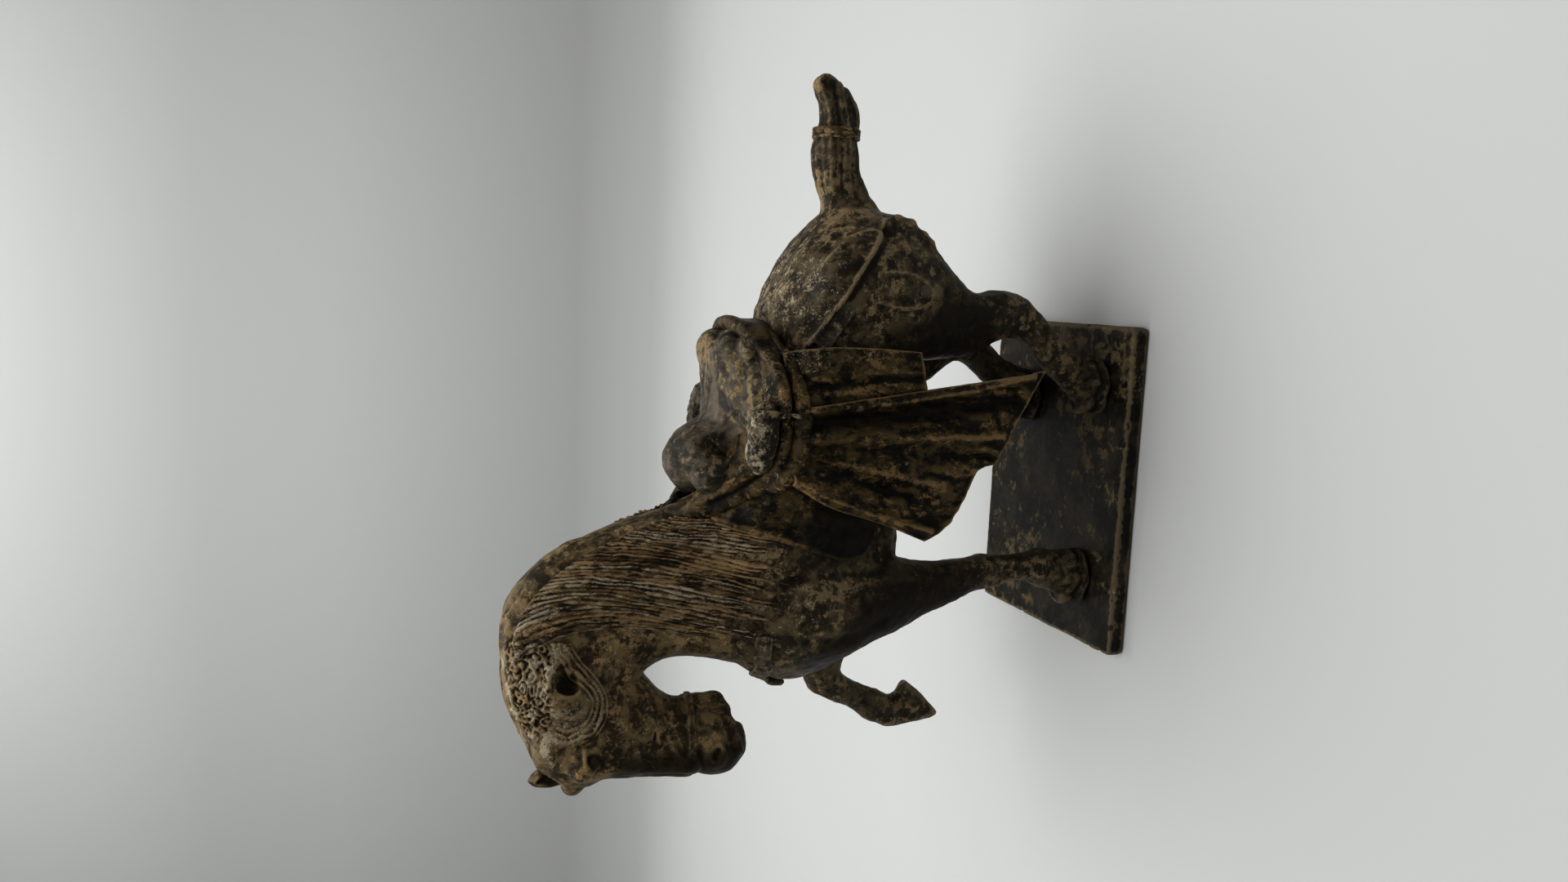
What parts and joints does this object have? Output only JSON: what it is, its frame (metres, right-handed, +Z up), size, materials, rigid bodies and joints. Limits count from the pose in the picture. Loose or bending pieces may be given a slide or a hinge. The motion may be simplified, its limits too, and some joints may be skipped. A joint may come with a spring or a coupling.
{
  "type": "saddled horse statue",
  "caption": "Cast-iron figure of a prancing Tang-style horse with saddle, draped cloth and combed mane, standing on a flat rectangular plate.",
  "frame": {"origin": "centre of the plate's underside", "axes": "+Z up from the plate, -X towards the horse's nose, -Y towards the horse's left side"},
  "size_m": [0.293, 0.1119, 0.2613],
  "materials": {
    "body_iron": "dark brown patina worn to ochre",
    "hair_iron": "ochre patina rubbed into combed grooves",
    "cloth_iron": "dark brown patina, mottled ochre on the folds",
    "saddle_iron": "dark brown patina, ochre on the high spots",
    "plate_iron": "dark brown patina with worn edges",
    "screw_steel": "plain steel"
  },
  "bodies": {
    "root": {"base_plate": "plate_iron", "bedroll_left": "saddle_iron", "bedroll_right": "saddle_iron", "breast_pendant": "saddle_iron", "breast_strap": "saddle_iron", "cloth_front_left": "cloth_iron", "cloth_front_right": "cloth_iron", "cloth_rear_left": "cloth_iron", "cloth_rear_right": "cloth_iron", "core_plug": "body_iron", "crupper_leaf_left": "saddle_iron", "crupper_leaf_right": "saddle_iron", "crupper_left": "saddle_iron", "crupper_right": "saddle_iron", "ear_left": "body_iron", "ear_right": "body_iron", "foreleg_left": "body_iron", "foreleg_right": "body_iron", "forelock": "hair_iron", "head_casting": "body_iron", "hindleg_left": "body_iron", "hindleg_right": "body_iron", "hoof_screw_fore_left": "screw_steel", "hoof_screw_hind_left": "screw_steel", "hoof_screw_hind_right": "screw_steel", "mane_left": "hair_iron", "mane_right": "hair_iron", "neck_casting": "body_iron", "noseband": "saddle_iron", "saddle_blanket": "cloth_iron", "saddle_pad": "saddle_iron", "saddle_seat": "saddle_iron", "tail_casting": "body_iron", "tail_tie": "hair_iron", "trunk_casting": "body_iron"}
  },
  "joints": []
}
